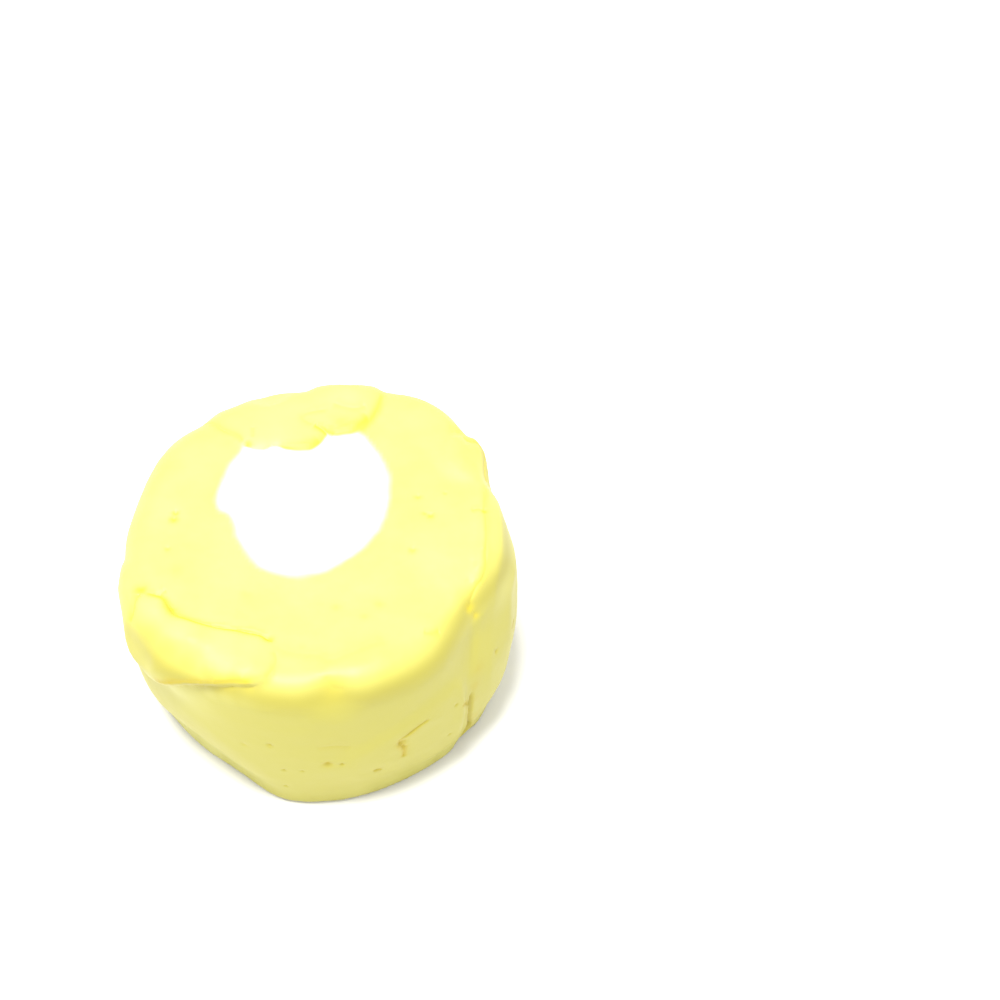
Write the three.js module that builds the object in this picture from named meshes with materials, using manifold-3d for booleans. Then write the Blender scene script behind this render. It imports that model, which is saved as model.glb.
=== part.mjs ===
// A slice of salt water taffy: pulled yellow taffy folded and pressed round a white core, then cut
// through to a thick, uneven disc that lies on one of its two cut faces.
// Millimetres, +Z up. It rests on z = 0, its front faces -Y, and the origin is under the middle of
// its box.
import * as THREE from "three";
import { mergeVertices } from "three/addons/utils/BufferGeometryUtils.js";
import Module from "manifold-3d";

const wasm = await Module();
wasm.setup();

// Driving dimensions of the pressed disc that carries the folds.
const disc = {
  radius: 14.05, // of the wall where it swells most, before it is drawn in
  height: 15.5,
  barrel: 0.3, // how far the wall swells between its two rims
  taper: 0.85, // how far the wall draws in towards the base
  topRim: 2.3, // rounding of the upper rim
  baseRim: 0.6, // rounding of the lower rim
  segments: 84,
  wallRings: 6,
  rimRings: 4,
  faceRings: 4,
};
const rimRadius = disc.radius - disc.barrel;
const faceRadius = rimRadius - disc.topRim; // where the flat of the upper face ends

// Soft pulls: the taffy within reach of a point moves, most at the point itself.
const pulls = [
  { at: [-10.7, -9.8, 1], move: [1.15, 1.05, 0], reach: 8.5 }, // the left front tapers to its foot
  { at: [-11.6, -8.4, 5], move: [-0.35, -0.35, 0], reach: 5 },
  { at: [2.5, -13.5, 0.5], move: [0, 0.2, 0], reach: 8 }, // and so does the front
  { at: [7.5, -11.5, 1], move: [-0.1, 0.25, 0], reach: 6 },
  { at: [-5.5, -12, 1], move: [0.3, 0.5, 0], reach: 4.5 },
  { at: [12.6, -6, 4], move: [0.3, -0.2, 0], reach: 5.5 }, // the right front swells out
  { at: [7.5, 11.2, 14], move: [0.6, 0.9, 0.2], reach: 7.5 }, // and so does the right back
  { at: [-12.5, 6, 13], move: [0.3, -0.1, 0], reach: 7 },
  { at: [11, -6, 13.5], move: [-0.7, 0.7, -0.4], reach: 6 },
  { at: [4, -11.5, 15.5], move: [0, 0, 0.35], reach: 4.5 }, // a soft ridge along the front rim
  { at: [1.8, -13, 14.4], move: [0, 0.35, -0.15], reach: 2.6 }, // a dimple under it
  { at: [-2, -6, 15.5], move: [0, 0, -0.35], reach: 6 },
  { at: [9, 0, 15.5], move: [0, 0, 0.25], reach: 6 },
  { at: [-9, 5, 15.5], move: [0, 0, 0.2], reach: 6 },
  { at: [-9, 9, 6], move: [0.5, -0.6, 0], reach: 7 },
  { at: [-1, 13, 15], move: [0, -0.6, -0.3], reach: 7.5 }, // the seat of the flap
  { at: [-7.5, 12, 14.5], move: [0.15, -0.45, -0.25], reach: 5 },
  { at: [13.5, 4, 12.5], move: [-0.55, 0, 0], reach: 6.5 },
  { at: [11.6, 8, 14], move: [0.35, 0.1, 0], reach: 2.8 }, // a corner at the end of the right shelf
  { at: [12.3, 5, 14], move: [-0.4, -0.1, 0], reach: 1.8 }, // and the notch beside it
  { at: [-13.8, 2, 13], move: [0.55, 0, 0], reach: 7 },
  { at: [-12.8, -6.8, 9], move: [0.35, 0.2, 0], reach: 4.5 },
  { at: [13.6, -3, 8], move: [0.25, -0.1, 0], reach: 7 }, // the fullest part of the right wrap
  { at: [-13.5, -4, 11], move: [0.75, 0.1, 0], reach: 6 }, // the seat of the lip
];

// Folds laid on the disc. Each outline point gives an angle in degrees, 0 at +X and 90 at the back,
// a distance over the surface from the edge of the flat upper face, outward and then down the wall,
// and how far the fold's edge stands off the disc there. crown is how far its middle stands off.
const folds = {
  // The lip rolled over the left front rim, with a blunt end at the front.
  lip: {
    crown: 1,
    outline: [
      [-172, 2.6, 0.2],
      [-160, 1.4, 0.15],
      [-149, 0.1, 0.1],
      [-139, -0.4, 0.1],
      [-128, -1.2, 0.1],
      [-114, -2.1, 0.15],
      [-105, -2, 0.1],
      [-101.5, -0.4, 0.15],
      [-103, 1.1, 0.3],
      [-111, 1.8, 0.4],
      [-122, 2.8, 0.45],
      [-132, 4.4, 0.5],
      [-143, 6.9, 0.4],
      [-156, 8.5, 0.3],
      [-168, 7.6, 0.2],
      [-175, 4.8, 0.1],
    ],
  },
  // The layer wrapped round the right wall, whose upper edge makes a crease along the rim.
  rightWrap: {
    crown: 0.5,
    outline: [
      [23, 1.7, 0.3],
      [10, 0.8, 0.35],
      [-3, 0.5, 0.35],
      [-14, 0.8, 0.35],
      [-24, 1.6, 0.3],
      [-31, 4.6, 0.2],
      [-37, 9, 0.05],
      [-36, 13, 0],
      [-15, 14, 0],
      [8, 13.6, 0],
      [30, 12, 0],
      [37, 8, 0.05],
      [33, 4, 0.1],
    ],
  },
  // A small shelf at the right back of the rim.
  rightShelf: {
    crown: 0.35,
    outline: [
      [44, 1.2, 0.3],
      [41, 2.9, 0.4],
      [32, 3.7, 0.4],
      [23, 3.3, 0.35],
      [20, 1.6, 0.3],
      [24, -0.2, 0],
      [34, -0.9, 0],
      [42, -0.3, 0.1],
    ],
  },
  // The end of the wrap at the right front, which laps over the right wall near the base.
  frontLap: {
    crown: 0.25,
    outline: [
      [-41, 6.4, 0.2],
      [-39.5, 8.6, 0.5],
      [-40.5, 11, 0.6],
      [-43, 14.2, 0.4],
      [-60, 14.6, 0],
      [-80, 14, 0],
      [-86, 11, 0],
      [-74, 8, 0],
      [-58, 6.4, 0],
      [-47, 5.8, 0.05],
    ],
  },
  // Laps of the same wrap round the back.
  backLap: {
    crown: 0.3,
    outline: [
      [-178, 4, 0],
      [158, 3.4, 0],
      [142, 4.6, 0.2],
      [133, 7.4, 0.5],
      [130, 10.4, 0.6],
      [134, 14.2, 0.4],
      [158, 14.8, 0],
      [-178, 14, 0],
      [-172, 9, 0],
    ],
  },
  backRoll: {
    crown: 0.5,
    outline: [
      [44, 10.4, 0.1],
      [54, 8.4, 0.4],
      [70, 7.8, 0.5],
      [88, 9, 0.5],
      [100, 11, 0.4],
      [106, 14.2, 0.2],
      [84, 15.2, 0],
      [58, 14.8, 0],
      [46, 13, 0],
    ],
  },
};

// The flap folded from the back wall over the rim and down onto the core, in two lobes.
const flap = {
  longLobe: {
    crown: 0.55,
    outline: [
      [128, 1.6, 0.05],
      [124.5, -0.6, 0.1],
      [124, -2.6, 0.2],
      [118, -3.6, 0.3],
      [112, -3.6, 0.3],
      [105, -4.2, 0.35],
      [97, -4.3, 0.4],
      [90, -3.9, 0.4],
      [85, -2.8, 0.4],
      [83, 0, 0.3],
      [85, 3.6, 0.3],
      [96, 5.8, 0.2],
      [112, 5.6, 0.1],
      [124, 4, 0.05],
    ],
  },
  roundLobe: {
    crown: 0.7,
    outline: [
      [88, -2.4, 0.4],
      [81, -3, 0.45],
      [74, -2.5, 0.45],
      [69.5, -1.2, 0.35],
      [68, 0.6, 0.15],
      [70, 3, 0.05],
      [76, 5.6, 0.05],
      [84, 6, 0.2],
      [91, 3.6, 0.35],
      [92, 0, 0.5],
    ],
  },
};

// How every fold is meshed, and the shape of its cross-section as shares of its outline and of its
// height there: out over its top, round its edge and back under the disc's surface.
const foldShape = {
  segments: 32,
  top: [0.4, 0.75, 0.93],
  edge: { reach: 1, height: 0.55 },
  tuck: { reach: 0.95, depth: 0.35 },
  root: 1.5, // how deep the hidden middle lies
};

// The white core: a rod that runs from cut face to cut face. Its outline is seen from above, as
// degrees and distance from its centre.
const core = {
  centre: [-0.9, 2.4],
  lean: [0.9, -1.3], // how far its lower end lies from the upper one
  gap: 0.3, // clearance to the yellow taffy round it
  steps: 4,
  perPoint: 4,
  outline: [
    [0, 5.8],
    [35, 6.6],
    [70, 7.4],
    [105, 7.4],
    [140, 6.3],
    [168, 6.1],
    [184, 6.1],
    [192, 5.1],
    [225, 5.5],
    [260, 6.3],
    [300, 6.1],
    [335, 5.7],
  ],
};

const yellowTaffy = new THREE.MeshStandardMaterial({ color: 0xf7ec86, roughness: 0.5, metalness: 0 });
const whiteTaffy = new THREE.MeshStandardMaterial({ color: 0xf8f6ee, roughness: 0.55, metalness: 0 });

// A closed geometry as a solid that can be joined and cut.
function solidOf(geometry) {
  const plain = geometry.clone();
  plain.deleteAttribute("normal");
  plain.deleteAttribute("uv");
  const merged = mergeVertices(plain, 1e-4);
  const corners = merged.index.array;
  const kept = [];
  for (let i = 0; i < corners.length; i += 3) {
    const [a, b, c] = corners.slice(i, i + 3);
    if (a !== b && b !== c && c !== a) kept.push(a, b, c);
  }
  const vertProperties = merged.attributes.position.array;
  return new wasm.Manifold(new wasm.Mesh({ numProp: 3, vertProperties, triVerts: new Uint32Array(kept) }));
}

// A solid as a named mesh of the scene.
function meshOf(name, solid, material) {
  const { vertProperties, triVerts } = solid.getMesh();
  const geometry = new THREE.BufferGeometry();
  geometry.setAttribute("position", new THREE.BufferAttribute(vertProperties, 3));
  geometry.setIndex(new THREE.BufferAttribute(triVerts, 1));
  geometry.computeVertexNormals();
  const mesh = new THREE.Mesh(geometry, material);
  mesh.name = name;
  return mesh;
}

// Moves every point of a geometry by a function that changes a THREE.Vector3.
function reshape(geometry, change) {
  const position = geometry.attributes.position;
  const point = new THREE.Vector3();
  for (let i = 0; i < position.count; i++) {
    change(point.fromBufferAttribute(position, i), i);
    position.setXYZ(i, point.x, point.y, point.z);
  }
  return geometry;
}

// Pulls the part of a geometry near a point, fading smoothly to nothing at the edge of its reach.
function pull(geometry, { at, move, reach }) {
  const centre = new THREE.Vector3(...at);
  const offset = new THREE.Vector3(...move);
  return reshape(geometry, (point) => {
    const share = 1 - Math.min(1, point.distanceTo(centre) / reach);
    point.addScaledVector(offset, share * share * (3 - 2 * share));
  });
}

// The radius of the disc's wall at a level, between the roundings of its two rims.
function wallRadius(level) {
  const { height, barrel, taper, topRim, baseRim } = disc;
  const share = THREE.MathUtils.clamp((level - baseRim) / (height - topRim - baseRim), 0, 1);
  return rimRadius + barrel * Math.sin(Math.PI * share) - taper * (1 - share);
}

// The point of the disc's profile at a distance over its surface from the edge of the flat upper
// face, raised by lift along the profile's normal, as radius and height.
function profilePoint(distance, lift) {
  const { height, topRim } = disc;
  const turn = distance / topRim;
  if (turn < 0) return [faceRadius + distance, height + lift];
  if (turn < Math.PI / 2) {
    const radius = topRim + lift;
    return [faceRadius + radius * Math.sin(turn), height - topRim + radius * Math.cos(turn)];
  }
  const level = height - topRim - (distance - (topRim * Math.PI) / 2);
  return [wallRadius(level) + lift, level];
}

// The disc's profile from the axis at the base, out, up the swollen wall and back to the axis.
function discProfile() {
  const { height, topRim, baseRim, wallRings, rimRings, faceRings } = disc;
  const footRadius = wallRadius(0) - baseRim; // where the flat of the base ends
  const points = [];
  for (let i = 0; i < faceRings; i++) {
    points.push(new THREE.Vector2((footRadius * i) / faceRings, 0));
  }
  for (let i = 0; i <= rimRings; i++) {
    const turn = ((Math.PI / 2) * i) / rimRings;
    const across = footRadius + baseRim * Math.sin(turn);
    points.push(new THREE.Vector2(across, baseRim * (1 - Math.cos(turn))));
  }
  for (let i = 1; i < wallRings; i++) {
    const level = baseRim + ((height - topRim - baseRim) * i) / wallRings;
    points.push(new THREE.Vector2(wallRadius(level), level));
  }
  for (let i = rimRings; i >= 0; i--) {
    points.push(new THREE.Vector2(...profilePoint((topRim * Math.PI * i) / 2 / rimRings, 0)));
  }
  for (let i = faceRings - 1; i >= 0; i--) {
    points.push(new THREE.Vector2((faceRadius * i) / faceRings, height));
  }
  return points;
}

// The pressed disc, before the folds are added and the core is cut out. Its base is flat.
function discSolid() {
  const geometry = new THREE.LatheGeometry(discProfile(), disc.segments).rotateX(Math.PI / 2);
  pulls.forEach((each) => pull(geometry, each));
  reshape(geometry, (point) => (point.z = Math.max(0, point.z)));
  return solidOf(geometry);
}

// A fold wrapped over the disc's surface, grown on every side by extra. A unit lathe gives its mesh,
// whose rings follow the cross-section and whose segments follow the outline.
function foldSolid({ crown, outline }, extra = 0) {
  const { segments, top, edge, tuck, root } = foldShape;
  // Angles are unwrapped from the first one, so that an outline may cross 180 degrees.
  const start = outline[0][0];
  const near = (degrees) => start + THREE.MathUtils.euclideanModulo(degrees - start + 180, 360) - 180;
  const corners = outline.map(([degrees, distance, lift]) => new THREE.Vector3(near(degrees), distance, lift));
  if (!THREE.ShapeUtils.isClockWise(corners)) corners.reverse();
  const curve = new THREE.CatmullRomCurve3(corners, true, "centripetal");
  const rim = Array.from({ length: segments }, (_, i) => curve.getPoint(i / segments));
  const middle = rim.reduce((sum, each) => sum.add(each), new THREE.Vector3()).divideScalar(segments);
  const perDegree = THREE.MathUtils.degToRad(disc.radius);

  const rings = [
    { reach: 0, lift: () => -root - extra },
    { reach: tuck.reach, lift: () => -tuck.depth - extra },
    { reach: edge.reach, lift: (height) => height * edge.height },
    ...top.toReversed().map((reach) => ({
      reach,
      lift: (height) => THREE.MathUtils.lerp(crown, height, reach ** 4) + extra,
    })),
    { reach: 0, lift: () => crown + extra },
  ];
  const profile = rings.map((_, i) => new THREE.Vector2(i % (rings.length - 1) ? 1 : 0, i));
  const geometry = new THREE.LatheGeometry(profile, segments);
  reshape(geometry, (point, index) => {
    const { reach, lift } = rings[index % rings.length];
    const side = rim[Math.floor(index / rings.length) % segments];
    const outward = new THREE.Vector2((side.x - middle.x) * perDegree, side.y - middle.y);
    const grown = outward.clone().setLength(outward.length() * reach + (reach ? extra : 0));
    const degrees = middle.x + grown.x / perDegree;
    const [radius, level] = profilePoint(middle.y + grown.y, lift(side.z));
    const angle = THREE.MathUtils.degToRad(degrees);
    point.set(radius * Math.cos(angle), radius * Math.sin(angle), level);
  });
  pulls.forEach((each) => pull(geometry, each));
  return solidOf(geometry);
}

// The rod that the core is cut from, longer than the slice is high and grown sideways by extra.
function coreRod(extra = 0) {
  const spare = 2;
  const points = core.outline.map(([degrees, distance]) => {
    const angle = THREE.MathUtils.degToRad(degrees);
    return new THREE.Vector2(Math.cos(angle), Math.sin(angle)).multiplyScalar(distance + extra);
  });
  const spline = new THREE.SplineCurve([...points, points[0]]);
  const outline = new THREE.Shape(spline.getPoints(points.length * core.perPoint).slice(0, -1));
  const depth = disc.height + 2 * spare;
  const geometry = new THREE.ExtrudeGeometry(outline, { depth, bevelEnabled: false, steps: core.steps });
  geometry.translate(0, 0, -spare);
  reshape(geometry, (point) => {
    const down = 1 - point.z / disc.height;
    point.x += core.centre[0] + core.lean[0] * down;
    point.y += core.centre[1] + core.lean[1] * down;
  });
  return solidOf(geometry);
}

const join = (solids) => solids.reduce((sum, each) => sum.add(each));
const pressed = discSolid();
const folded = join([pressed, ...Object.values(folds).map((each) => foldSolid(each))]);
const flapSolid = join(Object.values(flap).map((each) => foldSolid(each)));
const flapRoom = join(Object.values(flap).map((each) => foldSolid(each, core.gap)));

const taffy = new THREE.Group();
taffy.name = "salt_water_taffy";
const bodySolid = folded.subtract(coreRod(core.gap)).add(flapSolid);
const coreSolid = pressed.intersect(coreRod()).subtract(flapRoom);
taffy.add(meshOf("taffy_body", bodySolid, yellowTaffy));
taffy.add(meshOf("taffy_core", coreSolid, whiteTaffy));

// The folds stand out further on some sides than on others, so the slice is moved back to its middle.
const middle = new THREE.Box3().setFromObject(taffy).getCenter(new THREE.Vector3());
taffy.position.set(-middle.x, -middle.y, 0);

export default taffy;
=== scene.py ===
import math

import bpy
import numpy as np
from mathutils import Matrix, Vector, noise
from mathutils.bvhtree import BVHTree
from mathutils.kdtree import KDTree


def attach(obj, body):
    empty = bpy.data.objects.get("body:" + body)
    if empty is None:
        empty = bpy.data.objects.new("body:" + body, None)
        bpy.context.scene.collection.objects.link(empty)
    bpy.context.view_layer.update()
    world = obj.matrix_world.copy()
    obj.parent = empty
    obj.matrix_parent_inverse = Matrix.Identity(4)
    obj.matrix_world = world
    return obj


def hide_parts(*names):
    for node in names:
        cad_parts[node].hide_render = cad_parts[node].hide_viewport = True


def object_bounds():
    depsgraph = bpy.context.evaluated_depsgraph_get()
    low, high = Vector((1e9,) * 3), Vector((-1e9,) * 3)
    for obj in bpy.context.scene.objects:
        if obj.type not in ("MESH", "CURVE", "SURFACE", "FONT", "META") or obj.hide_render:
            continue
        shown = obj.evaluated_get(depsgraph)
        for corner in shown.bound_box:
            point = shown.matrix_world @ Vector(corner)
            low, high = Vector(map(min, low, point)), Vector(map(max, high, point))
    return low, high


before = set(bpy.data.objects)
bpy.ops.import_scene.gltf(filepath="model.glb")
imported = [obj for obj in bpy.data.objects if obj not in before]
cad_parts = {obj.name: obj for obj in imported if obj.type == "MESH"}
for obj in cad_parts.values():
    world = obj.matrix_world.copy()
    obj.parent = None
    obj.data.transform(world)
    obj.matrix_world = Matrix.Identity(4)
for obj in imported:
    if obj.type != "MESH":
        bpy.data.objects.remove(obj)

cadLow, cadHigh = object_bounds()
millimetre = 0.001
cadSize = (cadHigh - cadLow) / millimetre
cadMiddle = (cadHigh + cadLow) / 2 / millimetre

# the disc that carries the folds, in millimetres
disc = {
    "radius": cadSize.x / 2,
    "height": cadSize.z - 0.92,  # the flap stands over the upper face by the rest
    "barrel": 0.3,
    "taper": 0.85,
    "topRim": 2.3,
    "baseRim": 0.35,
    "steps": 144,
    "faceSteps": 12,
    "rimSteps": 8,
    "wallSteps": 20,
}
disc["rimRadius"] = disc["radius"] - disc["barrel"]
disc["faceRadius"] = disc["rimRadius"] - disc["topRim"]

# soft grabs that press the disc out of round: where, which way and how far round it
pulls = [
    ((-10.7, -9.8, 1), (1.15, 1.05, 0), 8.5),
    ((-11.6, -8.4, 5), (-0.35, -0.35, 0), 5),
    ((2.5, -13.5, 0.5), (0, 0.2, 0), 8),
    ((7.5, -11.5, 1), (-0.1, 0.25, 0), 6),
    ((-5.5, -12, 1), (0.3, 0.5, 0), 4.5),
    ((12.6, -6, 4), (0.3, -0.2, 0), 5.5),
    ((7.5, 11.2, 14), (0.6, 0.9, 0.2), 7.5),
    ((-12.5, 6, 13), (0.3, -0.1, 0), 7),
    ((11, -6, 13.5), (-0.7, 0.7, -0.4), 6),
    ((4, -11.5, 15.5), (0, 0, 0.35), 4.5),
    ((1.8, -13, 14.4), (0, 0.35, -0.15), 2.6),
    ((-2, -6, 15.5), (0, 0, -0.35), 6),
    ((9, 0, 15.5), (0, 0, 0.25), 6),
    ((-9, 5, 15.5), (0, 0, 0.2), 6),
    ((-9, 9, 6), (0.5, -0.6, 0), 7),
    ((-1, 13, 15), (0, -0.6, -0.3), 7.5),
    ((-7.5, 12, 14.5), (0.15, -0.45, -0.25), 5),
    ((13.5, 4, 12.5), (-0.55, 0, 0), 6.5),
    ((11.6, 8, 14), (0.35, 0.1, 0), 2.8),
    ((12.3, 5, 14), (-0.4, -0.1, 0), 1.8),
    ((-13.8, 2, 13), (0.55, 0, 0), 7),
    ((-12.8, -6.8, 9), (0.35, 0.2, 0), 4.5),
    ((13.6, -3, 8), (0.25, -0.1, 0), 7),
    ((-13.5, -4, 11), (0.75, 0.1, 0), 6),
    ((-12.7, -7.4, 11.5), (-0.3, -0.1, 0), 2),
    ((-9.6, -11.4, 12), (-0.2, -0.25, 0), 2.6),
    ((-6.2, -10.9, 16), (0, 0, -0.18), 2.2),
    ((10.9, 8.6, 15), (-0.2, -0.35, -0.1), 1.2),
    ((10.35, 9.3, 14.9), (-0.05, -0.5, -0.15), 0.75),
    ((9.3, 9.9, 15), (0, 0.25, 0.1), 0.9),
    ((11, -7.4, 0.5), (-0.15, 0.3, 0.1), 1.7),
    ((-9.3, -7.6, 0.6), (-0.2, -0.17, 0), 3.6),
    ((0, 11.6, 16), (0, 0.3, 0.25), 3),
    ((2.6, 12.4, 15.7), (0, 0.25, 0.25), 1.7),
    ((-5.6, 10.9, 15.3), (0, 0.18, 0.12), 3),
]

# folds: degrees round the disc, distance over its surface from the flat face, and lift there
folds = {
    "lip": {"crown": 1.0, "outline": [
        (-172, 2.6, 0.2), (-160, 1.4, 0.15), (-149, 0.1, 0.1), (-139, -0.4, 0.1), (-128, -1.2, 0.1),
        (-114, -2.1, 0.15), (-105, -2, 0.1), (-101.5, -0.4, 0.15), (-103, 1.1, 0.3), (-111, 1.8, 0.4),
        (-122, 2.8, 0.45), (-132, 4.4, 0.5), (-143, 6.9, 0.4), (-156, 8.5, 0.3), (-168, 7.6, 0.2),
        (-175, 4.8, 0.1)]},
    "rightWrap": {"crown": 0.5, "outline": [
        (23, 1.5, 0.3), (10, 0.5, 0.3), (-3, 0.2, 0.25), (-14, 0.5, 0.25), (-24, 1.4, 0.25),
        (-31, 4.6, 0.2), (-37, 9, 0.05), (-36, 13, 0), (-15, 14, 0), (8, 13.6, 0), (30, 12, 0),
        (37, 8, 0.05), (33, 4, 0.1)]},
    "rightShelf": {"crown": 0.35, "outline": [
        (40, 1.2, 0.35), (38.5, 2.9, 0.4), (32, 3.7, 0.4), (23, 3.3, 0.35), (20, 1.6, 0.3),
        (24, -0.2, 0), (33, -0.9, 0), (38.5, -0.3, 0.15)]},
    "frontLap": {"crown": 0.25, "outline": [
        (-41, 6.4, 0.2), (-39.5, 8.6, 0.5), (-40.5, 11, 0.6), (-43, 14.2, 0.4), (-60, 14.6, 0),
        (-80, 14, 0), (-86, 11, 0), (-74, 8, 0), (-58, 6.4, 0), (-47, 5.8, 0.05)]},
    "backLap": {"crown": 0.3, "outline": [
        (182, 4, 0), (158, 3.4, 0), (142, 4.6, 0.2), (133, 7.4, 0.5), (130, 10.4, 0.6),
        (134, 14.2, 0.4), (158, 14.8, 0), (182, 14, 0), (188, 9, 0)]},
    "backRoll": {"crown": 0.5, "outline": [
        (44, 10.4, 0.1), (54, 8.4, 0.4), (70, 7.8, 0.5), (88, 9, 0.5), (100, 11, 0.4),
        (106, 14.2, 0.2), (84, 15.2, 0), (58, 14.8, 0), (46, 13, 0)]},
}
flap = {
    "longLobe": {"crown": 0.55, "outline": [
        (128, 1.6, 0.05), (124.5, -0.6, 0.1), (124, -2.6, 0.15), (118, -3.6, 0.25), (112, -3.6, 0.25),
        (105, -4.2, 0.3), (97, -4.5, 0.35), (90, -4.3, 0.4), (84.7, -3.2, 0.4), (83, 0, 0.3),
        (85, 3.6, 0.3), (96, 5.8, 0.2), (112, 5.6, 0.1), (124, 4, 0.05)]},
    "roundLobe": {"crown": 0.7, "outline": [
        (88, -2.4, 0.4), (82, -3.05, 0.4), (76.5, -2.95, 0.4), (70.6, -2.45, 0.35), (68.2, -0.9, 0.3),
        (69.6, 0.8, 0.2), (73, 3, 0.05), (78, 5.6, 0.05), (84, 6, 0.2), (91, 3.6, 0.35), (92, 0, 0.5)]},
}
foldShape = {
    "curveSteps": 5,
    "rings": [0.4, 0.75, 0.93],
    "crownPower": 4,  # how late the crown falls away towards the edge
    "edgeHeight": 0.55,
    "undercut": 0.95,
    "tuck": 0.35,
    "root": 1.15,
    "rootWidth": 0.3,
    "roomRise": 5.0,  # the room over the flap's lobes, which keeps the cutter clear of them
    "roomGrowth": 1.02,
}


# small helpers
def pickOnly(piece):
    if bpy.context.object and bpy.context.object.mode != "OBJECT":
        bpy.ops.object.mode_set(mode="OBJECT")
    bpy.ops.object.select_all(action="DESELECT")
    piece.select_set(True)
    bpy.context.view_layer.objects.active = piece


def editAll(piece):
    pickOnly(piece)
    bpy.ops.object.mode_set(mode="EDIT")
    bpy.ops.mesh.select_mode(type="VERT")
    bpy.ops.mesh.select_all(action="SELECT")


def leaveEdit():
    bpy.ops.object.mode_set(mode="OBJECT")


def applyModifier(piece, kind, **values):
    pickOnly(piece)
    made = piece.modifiers.new(kind.lower(), kind)
    for name, value in values.items():
        setattr(made, name, value)
    bpy.ops.object.modifier_apply(modifier=made.name)


def joinAll(pieces, name):
    pickOnly(pieces[0])
    for each in pieces:
        each.select_set(True)
    bpy.ops.object.join()
    bpy.context.object.name = name
    return bpy.context.object


def copyOf(piece, name):
    twin = piece.copy()
    twin.data = piece.data.copy()
    twin.name = name
    bpy.context.collection.objects.link(twin)
    return twin


def lineThrough(name, points, closed, steps):
    # a curve drawn through given points and converted to a line of edges
    curve = bpy.data.curves.new(name, "CURVE")
    curve.dimensions = "3D"
    spline = curve.splines.new("BEZIER" if steps else "POLY")
    knots = spline.bezier_points if steps else spline.points
    knots.add(len(points) - 1)
    for knot, point in zip(knots, points):
        knot.co = point if steps else (*point, 1)
        if steps:
            knot.handle_left_type = knot.handle_right_type = "AUTO"
    spline.use_cyclic_u = closed
    spline.resolution_u = max(1, steps)
    line = bpy.data.objects.new(name, curve)
    bpy.context.collection.objects.link(line)
    pickOnly(line)
    bpy.ops.object.convert(target="MESH")
    return bpy.context.object


def pointsOf(piece):
    flat = np.empty(len(piece.data.vertices) * 3)
    piece.data.vertices.foreach_get("co", flat)
    return flat.reshape(-1, 3)


def grab(piece, at, move, reach):
    # picks the nearest vertex and drags it with soft falloff, as the grab brush does
    points = pointsOf(piece)
    nearest = int(np.argmin(((points - np.array(at)) ** 2).sum(axis=1)))
    editAll(piece)
    bpy.ops.mesh.select_all(action="DESELECT")
    leaveEdit()
    piece.data.vertices[nearest].select = True
    bpy.ops.object.mode_set(mode="EDIT")
    bpy.ops.transform.translate(value=move, use_proportional_edit=True,
                                proportional_edit_falloff="SMOOTH", proportional_size=reach)
    leaveEdit()


def treeOf(places):
    tree = KDTree(len(places))
    for i, place in enumerate(places):
        tree.insert(place, i)
    tree.balance()
    return tree


def soften(low, high, values):
    share = np.clip((values - low) / (high - low), 0, 1)
    return share * share * (3 - 2 * share)


# the blank: disc and folds fused
def wallRadius(level):
    share = (level - disc["baseRim"]) / (disc["height"] - disc["topRim"] - disc["baseRim"])
    share = min(1, max(0, share))
    return disc["rimRadius"] + disc["barrel"] * math.sin(math.pi * share) - disc["taper"] * (1 - share)


def surfacePoint(distance, lift):
    # radius and level of the disc's profile, walking out over the face and down the wall
    turn = distance / disc["topRim"]
    if turn < 0:
        return disc["faceRadius"] + distance, disc["height"] + lift
    if turn < math.pi / 2:
        reach = disc["topRim"] + lift
        level = disc["height"] - disc["topRim"] + reach * math.cos(turn)
        return disc["faceRadius"] + reach * math.sin(turn), level
    level = disc["height"] - disc["topRim"] - (distance - disc["topRim"] * math.pi / 2)
    return wallRadius(level) + lift, level


def makeDisc():
    base, height = disc["baseRim"], disc["height"]
    foot = wallRadius(0) - base
    faceSteps, rimSteps, wallSteps = disc["faceSteps"], disc["rimSteps"], disc["wallSteps"]
    profile = [(foot * i / faceSteps, 0, 0) for i in range(faceSteps)]
    for i in range(rimSteps + 1):
        turn = math.pi / 2 * i / rimSteps
        profile.append((foot + base * math.sin(turn), 0, base * (1 - math.cos(turn))))
    for i in range(1, wallSteps):
        level = base + (height - disc["topRim"] - base) * i / wallSteps
        profile.append((wallRadius(level), 0, level))
    for i in range(rimSteps, -1, -1):
        radius, level = surfacePoint(disc["topRim"] * math.pi / 2 * i / rimSteps, 0)
        profile.append((radius, 0, level))
    profile += [(disc["faceRadius"] * i / faceSteps, 0, height) for i in range(faceSteps - 1, -1, -1)]
    piece = lineThrough("disc", profile, False, 0)
    editAll(piece)
    bpy.ops.mesh.spin(steps=disc["steps"], angle=math.tau, center=(0, 0, 0), axis=(0, 0, 1))
    bpy.ops.mesh.select_all(action="SELECT")
    bpy.ops.mesh.remove_doubles(threshold=0.001)
    bpy.ops.mesh.normals_make_consistent(inside=False)
    leaveEdit()
    return piece


def resizeRing(across, up, centre):
    bpy.ops.transform.resize(value=(across, across, up), center_override=centre)


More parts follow.
